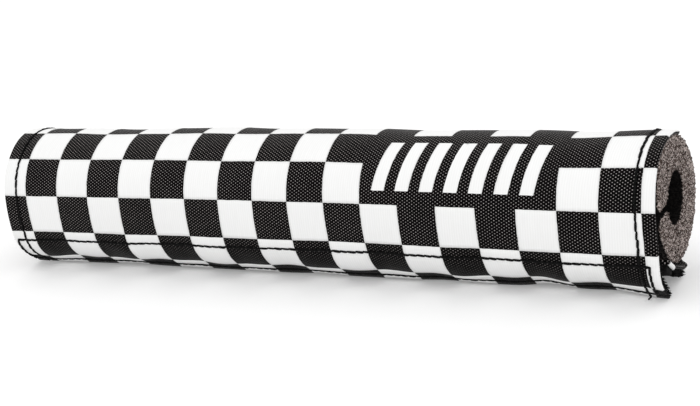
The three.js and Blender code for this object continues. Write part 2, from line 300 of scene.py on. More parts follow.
def section(girth):
    """The wrap's outer face at each girth: y, z and heading, about the foam's centre."""
    left = np.asarray(girth, float) + ROW_LINE
    y = np.full(left.shape, float(WRAP_START[0]))
    z = np.full(left.shape, float(WRAP_START[1]))
    heading = np.full(left.shape, float(WRAP_HEADING))
    for _, length, turn in SPANS:
        run = np.clip(left, 0, length)
        if turn == 0:
            y = y - np.cos(heading) * run
            z = z - np.sin(heading) * run
        else:
            radius = length / turn
            centre_y = y + np.sin(heading) * radius
            centre_z = z - np.cos(heading) * radius
            heading = heading + run / radius
            y = centre_y - np.sin(heading) * radius
            z = centre_z + np.cos(heading) * radius
        left = left - length
    return y, z, heading


def wave_sum(x, girth, waves):
    return sum(height * np.sin(x * along + girth * around + start) for height, along, around, start in waves)


def ripple(x, girth):
    """Slight waviness of the cloth, none where it meets the ground."""
    risen = smooth(BACK_START, BACK_START + RIPPLE_FADE, girth)
    loose = risen * (1 - smooth(CREASE_START, FLAP_START, girth))
    return RIPPLE * loose * wave_sum(x, girth, RIPPLE_WAVES)


def crease_wave(x, girth):
    """The outer flap's crease wanders a little along the pad."""
    near = smooth(*CREASE_WAVE_RISE, girth) * (1 - smooth(FLAP_START, OUTER_EDGE, girth))
    return near * wave_sum(x, girth, CREASE_WAVES)


def seam_groove(x, girth):
    """The stitches pull the cloth in along each seam."""
    hem = sum(np.exp(-(((x - seam) / SEAM_WIDTH) ** 2)) for seam in HEM_SEAMS)
    tape = sum(np.exp(-(((girth - seam) / SEAM_WIDTH) ** 2)) for seam in TAPE_SEAMS)
    return SEAM_DEPTH * np.maximum(hem, tape)


def end_puff(x, behind):
    """How much wider the right end stands, on top and at the back."""
    return smooth(PUFF_START, FOAM_END, x) * behind


def shift_at(girth, shifts):
    return sum(amount * (1 - smooth(full, none, girth)) for amount, full, none in shifts)


def end_shift(x, girth):
    """How far the cover's ends run past or short of square."""
    right = smooth(FOAM_END - RIGHT_SHIFT_REACH, FOAM_END, x) * shift_at(girth, RIGHT_SHIFTS)
    left = smooth(FOAM_END - LEFT_SHIFT_REACH, FOAM_END, -x) * (LEFT_OVERRUN + shift_at(girth, LEFT_SHIFTS))
    return right - left


def bow(x):
    """The pad arches slightly along its length."""
    return BOW_RISE * np.maximum(1 - ((x - BOW_MIDDLE) / BOW_HALF_LENGTH) ** 2, 0)


def flap_lift(x, girth):
    """The outer flap's edge stands off the ground here and there."""
    height = sum(rise * np.exp(-(((x - place) / FLAP_LIFT_WIDTH) ** 2)) for place, rise in FLAP_LIFTS)
    return height * smooth(CREASE_START, OUTER_EDGE, girth)


def same_shape(*values):
    """The values as arrays of one shape."""
    return np.broadcast_arrays(*[np.asarray(value, float) for value in values])


def wrap_point(x, girth, lift):
    """Points on the relaxed wrap, in millimetres: lift is the distance outside the cloth's outer face."""
    x, girth, lift = same_shape(x, girth, lift)
    y, z, heading = section(girth)
    behind = smooth(BACK_START, ROUND_START, girth) * (1 - smooth(*PUFF_FRONT, girth))
    raised = lift + ripple(x, girth) + crease_wave(x, girth) - seam_groove(x, girth)
    raised = raised + COVER_PUFF * end_puff(x, behind)
    y = y - np.sin(heading) * raised
    z = z + np.cos(heading) * raised
    corner = smooth(CORNER_START, COVER_END + CORNER_OVERRUN, x) * smooth(*CORNER_RISE, girth)
    tuck = (1 - smooth(*FLAP_TUCK_ENDS, x)) * smooth(CREASE_START, OUTER_EDGE, girth)
    y = y - CORNER_FLARE * corner + FLAP_TUCK_BACK * tuck
    z = np.maximum(z + CLOSED_RADIUS, 0) + FLAP_TUCK_UP * tuck + flap_lift(x, girth) + bow(x)
    return np.stack([x + end_shift(x, girth), y + FOAM_CENTRE_Y, z], -1)


def cloth_point(cut, girth, lift):
    """A point of the flat-cut cloth, lift outside its printed face, with the hems folded under."""
    cut, girth, lift = same_shape(cut, girth, lift)
    over = np.abs(cut) - FACE_HALF
    angle = np.clip(over / FOLD_RADIUS, 0, math.pi)
    under = np.maximum(over - math.pi * FOLD_RADIUS, 0)
    reach = np.minimum(np.abs(cut), FACE_HALF) + (FOLD_RADIUS + lift) * np.sin(angle) - under
    drop = -FOLD_RADIUS * (1 - np.cos(angle))
    return wrap_point(np.sign(cut) * reach, girth, drop + lift * np.cos(angle))


TINY = 1e-6


def grid_steps(start, end, lines, step):
    """Places from start to end, as even as step allows, that include each line between them."""
    inside = sorted(at for at in lines if start + TINY < at < end - TINY)
    stops = [start, *inside, end]
    parts = [np.linspace(a, b, int(max(1, round((b - a) / step))) + 1)[:-1] for a, b in zip(stops, stops[1:])]
    return np.concatenate([*parts, [end]])


# Fineness of the cloth's mesh
GRID_STEP = 1.05
FOLD_STEP = 0.24
TIGHT_STEP = 0.45
GROOVE_STOPS = SEAM_WIDTH * np.array([-2, -1, 0, 1, 2])


def cut_grid():
    """Places along the cut cloth's length, close together round the folded hems."""
    columns = [FIRST_COLUMN_LINE + column * SQUARE for column in range(FIRST_COLUMN, LAST_COLUMN + 1)]
    seams = [seam + stop for seam in HEM_SEAMS for stop in GROOVE_STOPS]
    fold_end = FACE_HALF + math.pi * FOLD_RADIUS
    face = grid_steps(-FACE_HALF, FACE_HALF, columns + seams, GRID_STEP)
    fold = grid_steps(FACE_HALF, fold_end, [INK_HALF], FOLD_STEP)
    hem = grid_steps(fold_end, CUT_HALF, [], GRID_STEP)
    right = np.concatenate([fold[1:], hem[1:]])
    return np.concatenate([-right[::-1], face, right])


def girth_grid():
    """Places along the girth, close together at the tight bends that carry the pad."""
    first_row, last_row = math.floor(INNER_EDGE / SQUARE), math.floor(OUTER_EDGE / SQUARE)
    rows = [row * SQUARE for row in range(first_row, last_row + 1)]
    seams = [seam + stop for seam in TAPE_SEAMS for stop in GROOVE_STOPS]
    low = grid_steps(INNER_EDGE, REST_START, rows, GRID_STEP)
    tight = grid_steps(REST_START, BACK_START, rows, TIGHT_STEP)
    high = grid_steps(BACK_START, OUTER_EDGE, rows + seams, GRID_STEP)
    return np.concatenate([low[:-1], tight[:-1], high])


CUTS = cut_grid()
GIRTHS = girth_grid()


def grid_between(grid, low, high):
    inside = grid[(grid > low + TINY) & (grid < high - TINY)]
    return np.concatenate([[low], inside, [high]])


def slab_faces(rows, columns):
    """Faces of a closed slab over a grid whose lower points all come before its upper ones."""
    index = np.arange(rows * columns).reshape(rows, columns)
    a, b, c, d = index[:-1, :-1], index[:-1, 1:], index[1:, 1:], index[1:, :-1]
    top = np.stack([a, d, c, b], -1).reshape(-1, 4) + rows * columns
    bottom = np.stack([a, b, c, d], -1).reshape(-1, 4)
    rim = np.concatenate([index[0, :-1], index[:-1, -1], index[-1, :0:-1], index[:0:-1, 0]])
    after = np.roll(rim, -1)
    sides = np.stack([rim, rim + rows * columns, after + rows * columns, after], -1)
    return np.concatenate([top, bottom, sides])


class Shape:
    """Collects points in millimetres, faces, and each point's place on the flat-cut cloth."""

    def __init__(self):
        self.points = []
        self.faces = []
        self.flat = []
        self.count = 0

    def add(self, points, faces, flat=None):
        points = np.asarray(points, float)
        self.points.append(points)
        self.faces += [[int(corner) + self.count for corner in face] for face in faces]
        self.flat.append(points[:, :2] if flat is None else flat)
        self.count += len(points)

    def add_slab(self, cut, girth, low, high):
        """A closed layer over a grid of flat places, from its low points to its high ones."""
        points = np.concatenate([each.reshape(-1, 3) for each in (low, high)])
        flat = np.stack([cut.ravel(), girth.ravel()], -1)
        self.add(points, slab_faces(*cut.shape), np.concatenate([flat, flat]))

    def make(self, name, material):
        mesh = bpy.data.meshes.new(name)
        mesh.from_pydata((np.concatenate(self.points) * MM).tolist(), [], self.faces)
        mesh.update()
        mesh.shade_smooth()
        corners = np.zeros(len(mesh.loops), int)
        mesh.loops.foreach_get("vertex_index", corners)
        flat = np.concatenate(self.flat)[corners] * MM
        mesh.uv_layers.new(name="FlatCut").data.foreach_set("uv", flat.ravel().astype(np.float32))
        mesh.materials.append(material)
        thing = bpy.data.objects.new(name, mesh)
        bpy.context.scene.collection.objects.link(thing)
        return thing


# Materials


class Nodes:
    """Builds one material's node tree."""

    def __init__(self, name):
        self.material = bpy.data.materials.new(name)
        self.material.use_nodes = True
        self.tree = self.material.node_tree
        self.tree.nodes.clear()
        self.output = self.add("ShaderNodeOutputMaterial")

    def add(self, kind, inputs=None, **settings):
        node = self.tree.nodes.new(kind)
        for key, value in settings.items():
            setattr(node, key, value)
        for key, value in (inputs or {}).items():
            self.feed(node.inputs[key], value)
        return node

    def feed(self, socket, value):
        if isinstance(value, bpy.types.NodeSocket):
            self.tree.links.new(value, socket)
        else:
            socket.default_value = value

    def math(self, operation, *values):
        node = self.add("ShaderNodeMath", operation=operation)
        for socket, value in zip(node.inputs, values):
            self.feed(socket, value)
        return node.outputs[0]

    def ramp(self, value, low, high, to_low=0.0, to_high=1.0):
        places = {"Value": value, "From Min": low, "From Max": high, "To Min": to_low, "To Max": to_high}
        return self.add("ShaderNodeMapRange", places, interpolation_type="SMOOTHSTEP").outputs["Result"]

    def mix(self, share, first, second):
        node = self.add("ShaderNodeMix", data_type="RGBA")
        self.feed(node.inputs["Factor"], share)
        self.feed(node.inputs["A"], first)
        self.feed(node.inputs["B"], second)
        return node.outputs["Result"]

    def noise(self, vector, scale, detail=2.0, roughness=0.5):
        inputs = {"Vector": vector, "Scale": scale, "Detail": detail, "Roughness": roughness}
        return self.add("ShaderNodeTexNoise", inputs).outputs["Fac"]

    def bump(self, height, distance, strength):
        inputs = {"Height": height, "Distance": distance, "Strength": strength}
        return self.add("ShaderNodeBump", inputs).outputs["Normal"]

    def finish(self, **inputs):
        shader = self.add("ShaderNodeBsdfPrincipled")
        for key, value in inputs.items():
            self.feed(shader.inputs[key.replace("_", " ")], value)
        self.tree.links.new(shader.outputs[0], self.output.inputs["Surface"])
        return self.material


def weave(nodes):
    """A plain weave over the flat-cut cloth.

    Gives the flat place, the threads' height, where weft threads ride up and how round the warp threads are.
    """
    flat = nodes.add("ShaderNodeUVMap", uv_map="FlatCut").outputs["UV"]
    apart = nodes.add("ShaderNodeSeparateXYZ", {"Vector": flat})
    skewed = nodes.math("MULTIPLY_ADD", apart.outputs["Y"], WEAVE_SKEW, apart.outputs["X"])
    sway = nodes.math("MULTIPLY_ADD", nodes.noise(flat, 420.0, 1.0), WARP_SWAY, -WARP_SWAY / 2)
    across = nodes.math("MULTIPLY_ADD", skewed, 1 / (WARP_PITCH * MM), sway)
    along = nodes.math("MULTIPLY", apart.outputs["Y"], 1 / (WEFT_PITCH * MM))
    warp = nodes.math("FLOOR", across)
    weft = nodes.math("FLOOR", along)
    warp_round = nodes.math("SINE", nodes.math("MULTIPLY", nodes.math("FRACT", across), math.pi))
    weft_round = nodes.math("SINE", nodes.math("MULTIPLY", nodes.math("FRACT", along), math.pi))
    warp_wave = nodes.math("SINE", nodes.math("MULTIPLY", nodes.math("ADD", along, warp), math.pi))
    weft_wave = nodes.math("SINE", nodes.math("MULTIPLY", nodes.math("ADD", across, weft), -math.pi))
    warp_height = nodes.math("MULTIPLY_ADD", warp_wave, 0.5, nodes.math("MULTIPLY", warp_round, 0.5))
    weft_height = nodes.math("MULTIPLY_ADD", weft_wave, 0.5, nodes.math("MULTIPLY", weft_round, 0.5))
    height = nodes.math("MAXIMUM", warp_height, weft_height)
    ridden = nodes.math("MULTIPLY", nodes.math("MAXIMUM", weft_wave, 0.0), weft_round)
    return flat, height, ridden, warp_round


def woven_nylon(name):
    nodes = Nodes(name)
    flat, height, ridden, _ = weave(nodes)
    # The bright dots on the ridden weft are a painted highlight, varied at random in patches and flecks
    uneven_highlight = nodes.ramp(nodes.noise(flat, 90.0, 3.0), 0.25, 0.75, 0.75, 1.0)
    highlight_flecks = nodes.ramp(nodes.noise(flat, 1300.0, 1.0), 0.3, 0.7, 0.6, 1.0)
    girth = nodes.add("ShaderNodeSeparateXYZ", {"Vector": flat}).outputs["Y"]
    # Painted shade: the highlight dims on the flap that turns under
    turned_under_shade = nodes.ramp(girth, HIGHLIGHT_SHADE_RISE[0] * MM, HIGHLIGHT_SHADE_RISE[1] * MM, 1.0, HIGHLIGHT_IN_UNDERSIDE_SHADE)
    shaded_highlight_flecks = nodes.math("MULTIPLY", highlight_flecks, turned_under_shade)
    painted_highlight = nodes.math("MULTIPLY", nodes.ramp(ridden, 0.62, 1.0), nodes.math("MULTIPLY", uneven_highlight, shaded_highlight_flecks))
    return nodes.finish(
        Base_Color=nodes.mix(painted_highlight, NYLON_DARK, NYLON_PAINTED_HIGHLIGHT),
        Roughness=0.5,
        Specular_IOR_Level=0.03,
        Sheen_Weight=0.05,
        Sheen_Roughness=0.3,
        Normal=nodes.bump(height, 0.00014, 0.7),
    )


def white_ink(name):
    nodes = Nodes(name)
    flat, height, _, warp_round = weave(nodes)
    apart = nodes.add("ShaderNodeSeparateXYZ", {"Vector": flat})
    slow = nodes.math("MULTIPLY", apart.outputs["Y"], 0.1)
    stretched = nodes.add("ShaderNodeCombineXYZ", {"X": apart.outputs["X"], "Y": slow}).outputs[0]
    streaks = nodes.noise(stretched, 1500.0, 1.0)
    patches = nodes.noise(flat, 35.0, 3.0)
    lines = nodes.math("MULTIPLY", warp_round, streaks)
    share = nodes.math("MULTIPLY_ADD", lines, 0.6, nodes.math("MULTIPLY", patches, 0.5))
    return nodes.finish(
        Base_Color=nodes.mix(nodes.ramp(share, 0.2, 0.65), INK_DIM, INK_BRIGHT),
        Roughness=nodes.ramp(patches, 0.3, 0.7, 0.5, 0.62),
        Specular_IOR_Level=0.3,
        Normal=nodes.bump(height, 0.00003, 0.4),
    )


def grainy_foam(name):
    """Open-celled foam, painted near black as shade where it lies inside.

    The first coordinate of the foam's map is the painted shade, from 0 mm on the end faces to 1 mm inside.
    """
    nodes = Nodes(name)
    place = nodes.add("ShaderNodeTexCoord").outputs["Object"]
    cells = nodes.add("ShaderNodeTexVoronoi", {"Vector": place, "Scale": 2700.0})
    cell_tone = nodes.add("ShaderNodeSeparateColor", {"Color": cells.outputs["Color"]}).outputs[0]
    fine = nodes.noise(place, 3000.0, 2.0, 0.6)
    grain = nodes.math("MULTIPLY_ADD", cell_tone, 0.6, nodes.math("MULTIPLY", fine, 0.4))
    low = nodes.mix(nodes.ramp(grain, 0.22, 0.5), FOAM_PORE, FOAM_BODY)
    tone = nodes.mix(nodes.ramp(grain, 0.5, 0.74), low, FOAM_SPECK)
    flat = nodes.add("ShaderNodeUVMap", uv_map="FlatCut").outputs["UV"]
    inside = nodes.math("MULTIPLY", nodes.add("ShaderNodeSeparateXYZ", {"Vector": flat}).outputs["X"], 1 / MM)
    return nodes.finish(
        # Painted shade: the foam turns near black inside
        Base_Color=nodes.mix(inside, tone, nodes.mix(0.02, FOAM_PAINTED_SHADE, tone)),
        Roughness=0.95,
        Specular_IOR_Level=0.15,
        Normal=nodes.bump(grain, 0.0005, 0.8),
    )


def fuzzy_tape(name):
    nodes = Nodes(name)
    place = nodes.add("ShaderNodeTexCoord").outputs["Object"]
    pile = nodes.noise(place, 2400.0, 3.0, 0.7)
    return nodes.finish(
        Base_Color=nodes.mix(nodes.ramp(pile, 0.4, 0.7), TAPE_DARK, TAPE_PILE),
        Roughness=0.9,
        Specular_IOR_Level=0.15,
        Normal=nodes.bump(pile, 0.0006, 1.0),
    )


def twisted_thread(name):
    nodes = Nodes(name)
    place = nodes.add("ShaderNodeTexCoord").outputs["Object"]
    inputs = {"Vector": place, "Scale": 900.0, "Distortion": 1.5}
    strands = nodes.add("ShaderNodeTexWave", inputs, bands_direction="DIAGONAL").outputs["Fac"]
    return nodes.finish(
        Base_Color=nodes.mix(strands, THREAD_DARK, THREAD_STRAND),
        Roughness=0.6,
        Specular_IOR_Level=0.08,
        Normal=nodes.bump(strands, 0.0001, 0.8),
    )


NYLON = woven_nylon("black_nylon")
INK = white_ink("white_ink")
FOAM = grainy_foam("grey_foam")
TAPE = fuzzy_tape("black_tape")
THREAD = twisted_thread("black_thread")


def make_cover():
    cut, girth = np.meshgrid(CUTS, GIRTHS)
    shape = Shape()
    shape.add_slab(cut, girth, cloth_point(cut, girth, -CLOTH), cloth_point(cut, girth, 0))
    return shape.make("cloth_cover", NYLON)


# Print


def ink_patch(shape, cuts, girths, slant=0.0):
    """One white patch of print, between two cut places and two girths, with slightly rough edges."""
    columns = grid_between(CUTS, *cuts)
    rows = grid_between(GIRTHS, *girths)
    cut, girth = np.meshgrid(columns, rows)
    end = (cut == cuts[0]) | (cut == cuts[1])
    side = (girth == girths[0]) | (girth == girths[1])
    cut = cut + end * rng.uniform(-INK_ROUGH_ENDS, INK_ROUGH_ENDS, cut.shape)
    cut = cut - slant * ((girth - girths[0]) / (girths[1] - girths[0]) - 0.5)
    girth = girth + side * rng.uniform(-INK_ROUGH_SIDES, INK_ROUGH_SIDES, girth.shape)
    shape.add_slab(cut, girth, cloth_point(cut, girth, 0), cloth_point(cut, girth, INK_THICKNESS))


def in_panel(column, row):
    return 0 <= column - PANEL_FIRST_COLUMN < PANEL_COLUMNS and 0 <= row < PANEL_ROWS


def make_checker():
    """The white squares round the panel, and the white on the inner flap's folded corner."""
    shape = Shape()
    low, high = LOOP_END + LAYER_GAP, OUTER_EDGE - INK_EDGE_INSET
    for row in range(math.floor(low / SQUARE), math.floor(high / SQUARE) + 1):
        girths = (max(row * SQUARE, low), min((row + 1) * SQUARE, high))
        for column in range(FIRST_COLUMN, LAST_COLUMN + 1):
            left = FIRST_COLUMN_LINE + column * SQUARE
            if (column + row) % 2 == 0 and not in_panel(column, row):
                ink_patch(shape, (max(left, -INK_HALF), min(left + SQUARE, INK_HALF)), girths)
    curl_cuts = (LOOP_RIGHT + CURL_INK_INSET, FACE_HALF + CURL_FOLD_TURN * FOLD_RADIUS)
    ink_patch(shape, curl_cuts, (INNER_EDGE + CURL_INK_INSET, INNER_EDGE + CURL_INK_WIDTH))
    return shape.make("checker_print", INK)


def make_bar(number):
    """One slanted bar of the panel's row of bars."""
    middle = FIRST_COLUMN_LINE + (PANEL_FIRST_COLUMN + PANEL_COLUMNS / 2) * SQUARE
    left = middle + (number - (BAR_COUNT - 1) / 2) * BAR_PITCH - BAR_WIDTH / 2
    low = (PANEL_ROWS * SQUARE - BAR_HEIGHT) / 2
    shape = Shape()
    ink_patch(shape, (left, left + BAR_WIDTH), (low, low + BAR_HEIGHT), BAR_SLANT)
    return shape.make(f"print_bar_{number + 1}", INK)


# Stitching and loose fibres


# A direction that no thread or fibre follows
TUBE_ASIDE = (0.31, 0.53, 0.79)


def add_tube(shape, centre, radius, sides=6):
    """A closed tube round a path."""
    forward = np.gradient(centre, axis=0)
    forward /= np.linalg.norm(forward, axis=1, keepdims=True)
    side = np.cross(forward, TUBE_ASIDE)
    side /= np.linalg.norm(side, axis=1, keepdims=True)
    up = np.cross(forward, side)
    turn = np.arange(sides) * 2 * math.pi / sides
    ring = np.cos(turn)[None, :, None] * side[:, None] + np.sin(turn)[None, :, None] * up[:, None]
    radii = np.broadcast_to(radius, len(centre))[:, None, None]
    points = np.concatenate([(centre[:, None] + ring * radii).reshape(-1, 3), centre[[0, -1]]])
    index = np.arange(len(centre) * sides).reshape(len(centre), sides)
    a, b = index[:-1], index[1:]
    walls = np.stack([a, np.roll(a, -1, 1), np.roll(b, -1, 1), b], -1).reshape(-1, 4)
    caps = (len(points) - 2, len(points) - 1)
    first = np.stack([np.full(sides, caps[0]), np.roll(index[0], -1), index[0]], -1)
    last = np.stack([np.full(sides, caps[1]), index[-1], np.roll(index[-1], -1)], -1)
    shape.add(points, [*walls, *first, *last])


# One stitch along its length: the places, the rise off the cloth and the thickness
STITCH_RUN = np.array([0.0, 0.1, 0.3, 0.7, 0.9, 1.0])
STITCH_ARCH = np.array([-0.1, 0.1, 0.2, 0.2, 0.1, -0.1])
STITCH_WAIST = np.array([0.6, 0.95, 1.05, 1.05, 0.95, 0.6])
STITCH_RISES = (0.85, 1.15)
STITCH_THICKNESSES = (0.86, 1.14)


def sew(shape, start, end, lift):
    """A row of lock stitches from one flat place (x, girth) to another."""
    start, end = np.array(start, float), np.array(end, float)
    length = np.linalg.norm(end - start)
    direction = (end - start) / length
    across = np.array([-direction[1], direction[0]])
    knots = np.linspace(0, length, max(1, int(round(length / STITCH_PITCH))) + 1)
    knots[1:-1] += rng.uniform(-STITCH_UNEVENNESS, STITCH_UNEVENNESS, len(knots) - 2)
    slant = np.array([-STITCH_SLANT, 0, STITCH_SLANT])
    for low, high in zip(knots, knots[1:]):
        run = low - STITCH_OVERLAP + STITCH_RUN * (high - low + 2 * STITCH_OVERLAP)
        sway = np.interp(STITCH_RUN, [0, 0.5, 1], slant + rng.uniform(-STITCH_SWAY, STITCH_SWAY, 3))
        flat = start + run[:, None] * direction + sway[:, None] * across
        arch = lift + STITCH_ARCH * rng.uniform(*STITCH_RISES)
        centre = wrap_point(flat[:, 0], flat[:, 1], arch)
        centre[:, 2] = np.maximum(centre[:, 2], THREAD_RADIUS)
        add_tube(shape, centre, THREAD_RADIUS * rng.uniform(*STITCH_THICKNESSES) * STITCH_WAIST)


def sew_box(shape, girths, lift):
    """A rectangle of stitches round a tape."""
    left, right = TAPE_LEFT + TAPE_STITCH_INSET, TAPE_RIGHT - TAPE_STITCH_INSET
    low, high = girths[0] + TAPE_STITCH_INSET, girths[1] - TAPE_STITCH_INSET
    corners = [(left, low), (right, low), (right, high), (left, high)]
    for start, end in zip(corners, corners[1:] + corners[:1]):
        sew(shape, start, end, lift)


# The loose end of the right hem's thread
TAIL_INSET = 0.5
TAIL_LIFT = 0.2
TAIL_RADIUS = 0.7 * THREAD_RADIUS
TAIL_BENDS = np.array([(0, 0, 0), (0.15, -0.7, 0.05), (0.5, -1.3, 0.3), (0.55, -2.1, 0.45), (0.2, -2.8, 0.2)])


def make_cover_stitches():
    """Both hems and the hook tape's rectangle."""
    shape = Shape()
    sew_box(shape, (HOOK_START, EDGE_STITCHES), 0)
    for x in HEM_SEAMS:
        sew(shape, (x, LOOP_END + HEM_STITCH_START), (x, OUTER_EDGE - HEM_STITCH_STOP), 0)
    loose_end = wrap_point(HEM_SEAMS[1], OUTER_EDGE - TAIL_INSET, TAIL_LIFT)
    add_tube(shape, loose_end + TAIL_BENDS, TAIL_RADIUS)
    return shape.make("cover_stitches", THREAD)


def make_tape_stitches():
    """The loop tape's rectangle, on the inner flap's inside."""
    shape = Shape()
    sew_box(shape, (LOOP_START, LOOP_END), -CLOTH)
    return shape.make("tape_stitches", THREAD)


FIBRE_POINTS = 5
FIBRE_LENGTHS = (0.4, 1.0)
FIBRE_CURL = 0.35
FIBRE_RETURN = 0.4
FIBRE_THICKNESSES = (0.7, 1.3)


def add_fibres(shape, count, low, high, outward, length):
    """Curled fibres that start at random places (x, girth, lift) between low and high."""
    for _ in range(count):
        root = rng.uniform(low, high)
        reach = np.array(outward) * length * rng.uniform(*FIBRE_LENGTHS)
        curl = rng.normal(0, FIBRE_CURL * length, 3)
        t = np.linspace(0, 1, FIBRE_POINTS)[:, None]
        path = root + reach * t + curl * t * (1 - FIBRE_RETURN * t)
        add_tube(shape, wrap_point(*path.T), FIBRE_RADIUS * rng.uniform(*FIBRE_THICKNESSES), sides=4)


TAPE_STEP = 1.1
TAPE_ROUGH_LENGTH = 0.2
TAPE_ROUGH_WIDTH = 0.15
TAPE_ROUGH_HEIGHT = 0.12
SIDE_FIBRE_LENGTH = 0.4
PILE_ROOT_DEPTH = 0.1
PILE_INSET = 1
PILE_LEAN = 0.5
PILE_LENGTH = 0.35


def make_tape(name, girths, lifts, pile_way, right, fray, bare=0):
    """One tape of the closure: a rough band with fibres at its ends, its edges and its pile side.

    Its right end lies at right and is frayed over the length fray, but not beside its first edge over bare.
    """
    rows = grid_between(GIRTHS, *girths)
    columns = grid_steps(TAPE_LEFT, right, [], TAPE_STEP)
    x, girth = np.meshgrid(columns, rows)
    edge = (x == TAPE_LEFT) | (x == right) | (girth == girths[0]) | (girth == girths[1])
    x = x + edge * rng.uniform(-TAPE_ROUGH_LENGTH, TAPE_ROUGH_LENGTH, x.shape)
    girth = girth + edge * rng.uniform(-TAPE_ROUGH_WIDTH, TAPE_ROUGH_WIDTH, x.shape)
    low = lifts[0] + rng.uniform(0, TAPE_ROUGH_HEIGHT, x.shape)
    high = lifts[1] - rng.uniform(0, TAPE_ROUGH_HEIGHT, x.shape)
    shape = Shape()
    shape.add_slab(x, girth, wrap_point(x, girth, low), wrap_point(x, girth, high))
    for end, reach, first in ((TAPE_LEFT, -LEFT_FRAY, girths[0]), (right, fray, girths[0] + bare)):
        corners = (end, first, lifts[0]), (end, girths[1], lifts[1])
        add_fibres(shape, TAPE_FIBRES, *corners, (reach, 0, 0), 1)
    for side, way in ((girths[0], -1), (girths[1], 1)):
        corners = (TAPE_LEFT, side, lifts[0]), (right, side, lifts[1])
        add_fibres(shape, TAPE_FIBRES, *corners, (0, way, 0), SIDE_FIBRE_LENGTH)
    pile = (lifts[1] if pile_way > 0 else lifts[0]) - PILE_ROOT_DEPTH * pile_way
    inner = (TAPE_LEFT + PILE_INSET, girths[0] + PILE_INSET, pile)
    outer = (right - PILE_INSET, girths[1] - PILE_INSET, pile)
    add_fibres(shape, 4 * TAPE_FIBRES, inner, outer, (0, 0, PILE_LEAN * pile_way), PILE_LENGTH)
    return shape.make(name, TAPE)


# Foam

FOAM_AROUND = 230
FOAM_ACROSS = 22
FOAM_STEP = 6
END_LAYERS = np.array([0, 0.3, 0.9, 1.8, 3, 4.5, 6.5])
END_DEPTH = 6
END_BULGE = 0.3
END_BULGE_LEAN = 0.15
END_ROUNDING = 0.4
END_ROUGHNESS = (0.16, 0.12, 0.12)
SHADE_DEPTH = 0.25
RIM_START = 0.93
PUFF_ANGLE = 60 * DEG

# Shares of the wall from bore to outside over which the lips and the end's edge are rounded
OUTER_LIP = (0.75, 1)
BORE_LIP = (0, 0.2)
END_EDGE = (0.86, 1)

# Cosines and sines of the angle round the tube over which a form fades
PUFF_FADE = (-0.3, 0.7)
FRONT_FADE = (-0.85, 0.05)
TOP_FADE = (0.4, 1)
BOTTOM_FADE = (0.5, 0.9)
BOTTOM_NARROWING = 0.4


def foam_points(around, reach, x):
    """Points of the slit tube, and how much painted shade each gets: 0 on the end faces and 1 inside.

    around runs 0 to 1 from lip to lip, and reach runs 0 to 1 from the bore to the outside.
    """
    outer_lip = LIP_ROUND * smooth(*OUTER_LIP, reach) ** 2
    bore_lip = LIP_ROUND / 2 * (1 - smooth(*BORE_LIP, reach))
    middle = BORE_WIDTH / 2 + reach * (FOAM_RADIUS - BORE_WIDTH / 2)
    half_gap = np.arcsin((SLIT_GAP / 2 + outer_lip + bore_lip) / middle)
    angle = math.pi - SLIT_RISE + half_gap + around * (2 * math.pi - 2 * half_gap)
    turned = angle - BORE_LEAN
    squash = np.hypot(BORE_HEIGHT * np.cos(turned), BORE_WIDTH * np.sin(turned))
    bore = BORE_WIDTH * BORE_HEIGHT / 2 / squash
    depth = FOAM_END - np.abs(x)
    near_end = 1 - smooth(0, END_DEPTH, depth)
    behind = smooth(*PUFF_FADE, np.cos(angle - PUFF_ANGLE))
    front = 1 - smooth(*FRONT_FADE, np.cos(angle))
    below_top = 1 - smooth(*TOP_FADE, np.sin(angle))
    widest = below_top * (1 - BOTTOM_NARROWING * smooth(*BOTTOM_FADE, -np.sin(angle)))
    gap = FOAM_FRONT_GAP * front * widest * near_end * (x > 0)
    radius = bore + reach * (FOAM_RADIUS - bore + FOAM_PUFF * end_puff(x, behind) - gap)
    rounding = END_ROUNDING * smooth(*END_EDGE, reach) ** 2
    bulge = (x > 0) * (END_BULGE + END_BULGE_LEAN * np.cos(angle))
    end_x = x + near_end * np.sign(x) * (bulge * reach - rounding)
    rough = rng.normal(0, 1, (len(x), 3)) * near_end[:, None] * END_ROUGHNESS
    spots = np.stack([end_x, radius * np.cos(angle), radius * np.sin(angle) + bow(x)], -1)
    spots = spots + (1 - reach)[:, None] * BORE_SHIFT
    # Painted shade: full past a shallow depth in the bore and slit, and on the front of the outer skin near
    # the end
    inside = smooth(0, SHADE_DEPTH, depth) * np.where(reach > RIM_START, front, 1)
    return spots + rough + (0, FOAM_CENTRE_Y, CLOSED_RADIUS), inside


def make_foam():
    """The outer skin of a block of points in (around, reach, along) order."""
    inner_end = FOAM_END - END_LAYERS[-1]
    middle = grid_steps(-inner_end, inner_end, [], FOAM_STEP)[1:-1]
    along = np.concatenate([-FOAM_END + END_LAYERS, middle, FOAM_END - END_LAYERS[::-1]])
    sizes = (FOAM_AROUND, FOAM_ACROSS, len(along))
    index = np.arange(np.prod(sizes)).reshape(sizes)
    skins = [
        (index[:, :, 0], True),
        (index[:, :, -1], False),
        (index[:, 0, :], False),
        (index[:, -1, :], True),
        (index[0, :, :], True),
        (index[-1, :, :], False),
    ]
    faces = []
    for skin, turned in skins:
        a, b, c, d = skin[:-1, :-1], skin[:-1, 1:], skin[1:, 1:], skin[1:, :-1]
        faces.append(np.stack((a, d, c, b) if turned else (a, b, c, d), -1).reshape(-1, 4))
    used, renumbered = np.unique(np.concatenate(faces), return_inverse=True)
    i, j, k = np.unravel_index(used, sizes)
    points, inside = foam_points(i / (FOAM_AROUND - 1), j / (FOAM_ACROSS - 1), along[k])
    shape = Shape()
    # The foam's map carries each point's share of painted shade
    shape.add(points, renumbered.reshape(-1, 4), np.stack([inside, 0 * inside], -1))
    return shape.make("foam_core", FOAM)


